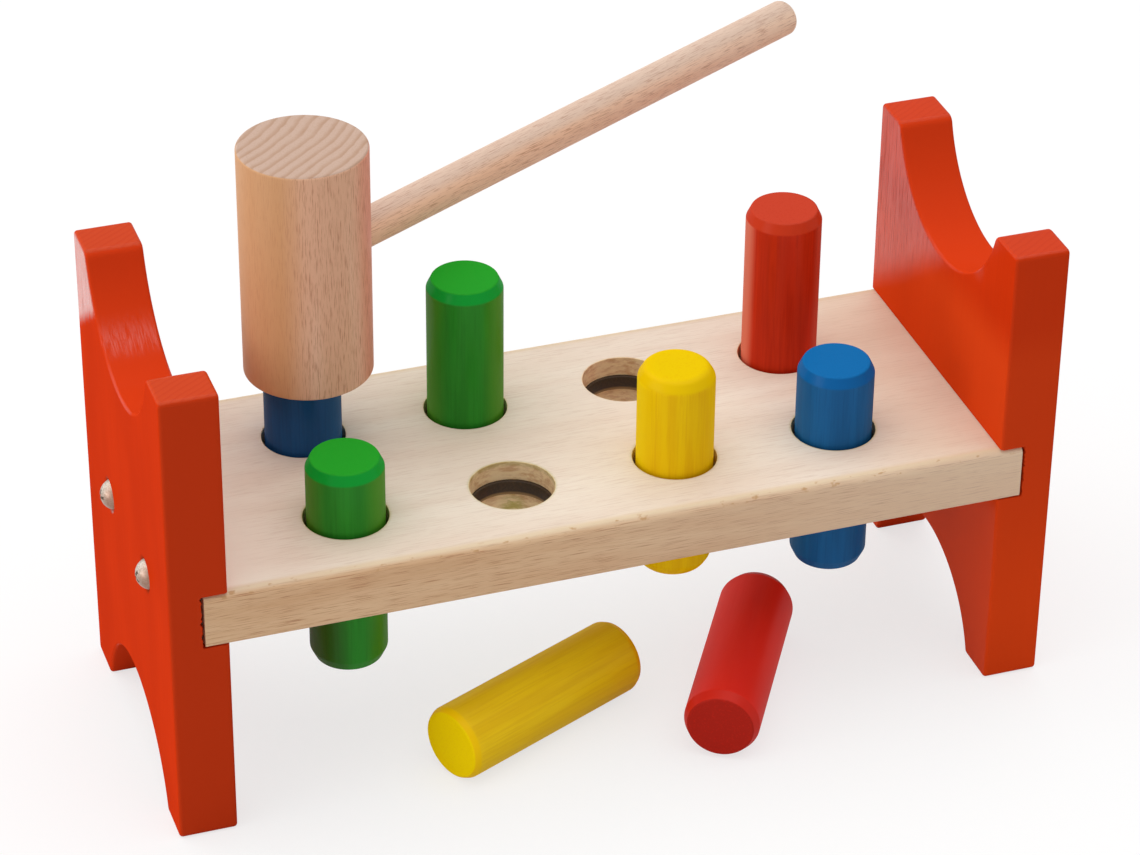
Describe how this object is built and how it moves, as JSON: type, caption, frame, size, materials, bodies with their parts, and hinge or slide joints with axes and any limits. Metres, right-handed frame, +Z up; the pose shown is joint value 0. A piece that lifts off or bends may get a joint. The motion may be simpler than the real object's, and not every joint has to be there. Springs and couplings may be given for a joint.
{
  "type": "peg pounding bench",
  "caption": "Child's pounding bench: a wooden board with bored holes and grip rings between two scooped, painted end panels, with coloured pegs to drive through and a wooden mallet.",
  "frame": {"origin": "middle of the whole set's bounding box, on the floor that the bench stands on", "axes": "+X along the board from the panel by the mallet head to the other panel, +Y towards the back, where the handle points, +Z up"},
  "size_m": [0.2874, 0.2041, 0.1877],
  "materials": {
    "red_paint": "glossy orange-red paint over wood",
    "beech": "plain beech, sanded",
    "mallet_beech": "plain beech, sanded",
    "green_stain": "green gloss stain",
    "blue_stain": "blue gloss stain",
    "yellow_stain": "yellow gloss stain",
    "red_stain": "orange-red gloss stain",
    "crimson_stain": "crimson gloss stain",
    "grip_rubber": "matte dark rubber",
    "screw_steel": "nickel-plated steel"
  },
  "bodies": {
    "bench": {"left_end_panel": "red_paint", "right_end_panel": "red_paint", "peg_board": "beech", "grip_ring_front_1": "grip_rubber", "grip_ring_front_2": "grip_rubber", "grip_ring_front_3": "grip_rubber", "grip_ring_front_4": "grip_rubber", "grip_ring_back_1": "grip_rubber", "grip_ring_back_2": "grip_rubber", "grip_ring_back_3": "grip_rubber", "grip_ring_back_4": "grip_rubber", "screw_left_front": "screw_steel", "screw_left_back": "screw_steel", "screw_right_front": "screw_steel", "screw_right_back": "screw_steel"},
    "green_front": {"peg_green_front": "green_stain"},
    "yellow_front": {"peg_yellow_front": "yellow_stain"},
    "blue_front": {"peg_blue_front": "blue_stain"},
    "blue_back": {"peg_blue_back": "blue_stain"},
    "green_back": {"peg_green_back": "green_stain"},
    "red_back": {"peg_red_back": "red_stain"},
    "mallet": {"mallet_head": "mallet_beech", "mallet_handle": "mallet_beech"},
    "yellow_loose": {"peg_yellow_loose": "yellow_stain"},
    "red_loose": {"peg_red_loose": "crimson_stain"}
  },
  "joints": [
    {"name": "green_front_slide", "type": "slide", "parent": "bench", "child": "green_front", "axis": [0, 0, 1], "range_m": [-0.021, 0.032]},
    {"name": "yellow_front_slide", "type": "slide", "parent": "bench", "child": "yellow_front", "axis": [0, 0, 1], "range_m": [-0.033, 0.02]},
    {"name": "blue_front_slide", "type": "slide", "parent": "bench", "child": "blue_front", "axis": [0, 0, 1], "range_m": [-0.0245, 0.0285]},
    {"name": "blue_back_slide", "type": "slide", "parent": "bench", "child": "blue_back", "axis": [0, 0, 1], "range_m": [-0.0242, 0.0288]},
    {"name": "green_back_slide", "type": "slide", "parent": "bench", "child": "green_back", "axis": [0, 0, 1], "range_m": [-0.047, 0.006]},
    {"name": "red_back_slide", "type": "slide", "parent": "bench", "child": "red_back", "axis": [0, 0, 1], "range_m": [-0.053, 0]},
    {"name": "mallet_lift", "type": "slide", "parent": "blue_back", "child": "mallet", "axis": [0, 0, 1], "range_m": [0, 0.1]},
    {"name": "yellow_loose_draw", "type": "slide", "parent": "bench", "child": "yellow_loose", "axis": [-0.91, -0.4147, 0], "range_m": [0, 0.11]},
    {"name": "red_loose_draw", "type": "slide", "parent": "bench", "child": "red_loose", "axis": [-0.5075, -0.8616, 0], "range_m": [0, 0.065]}
  ]
}
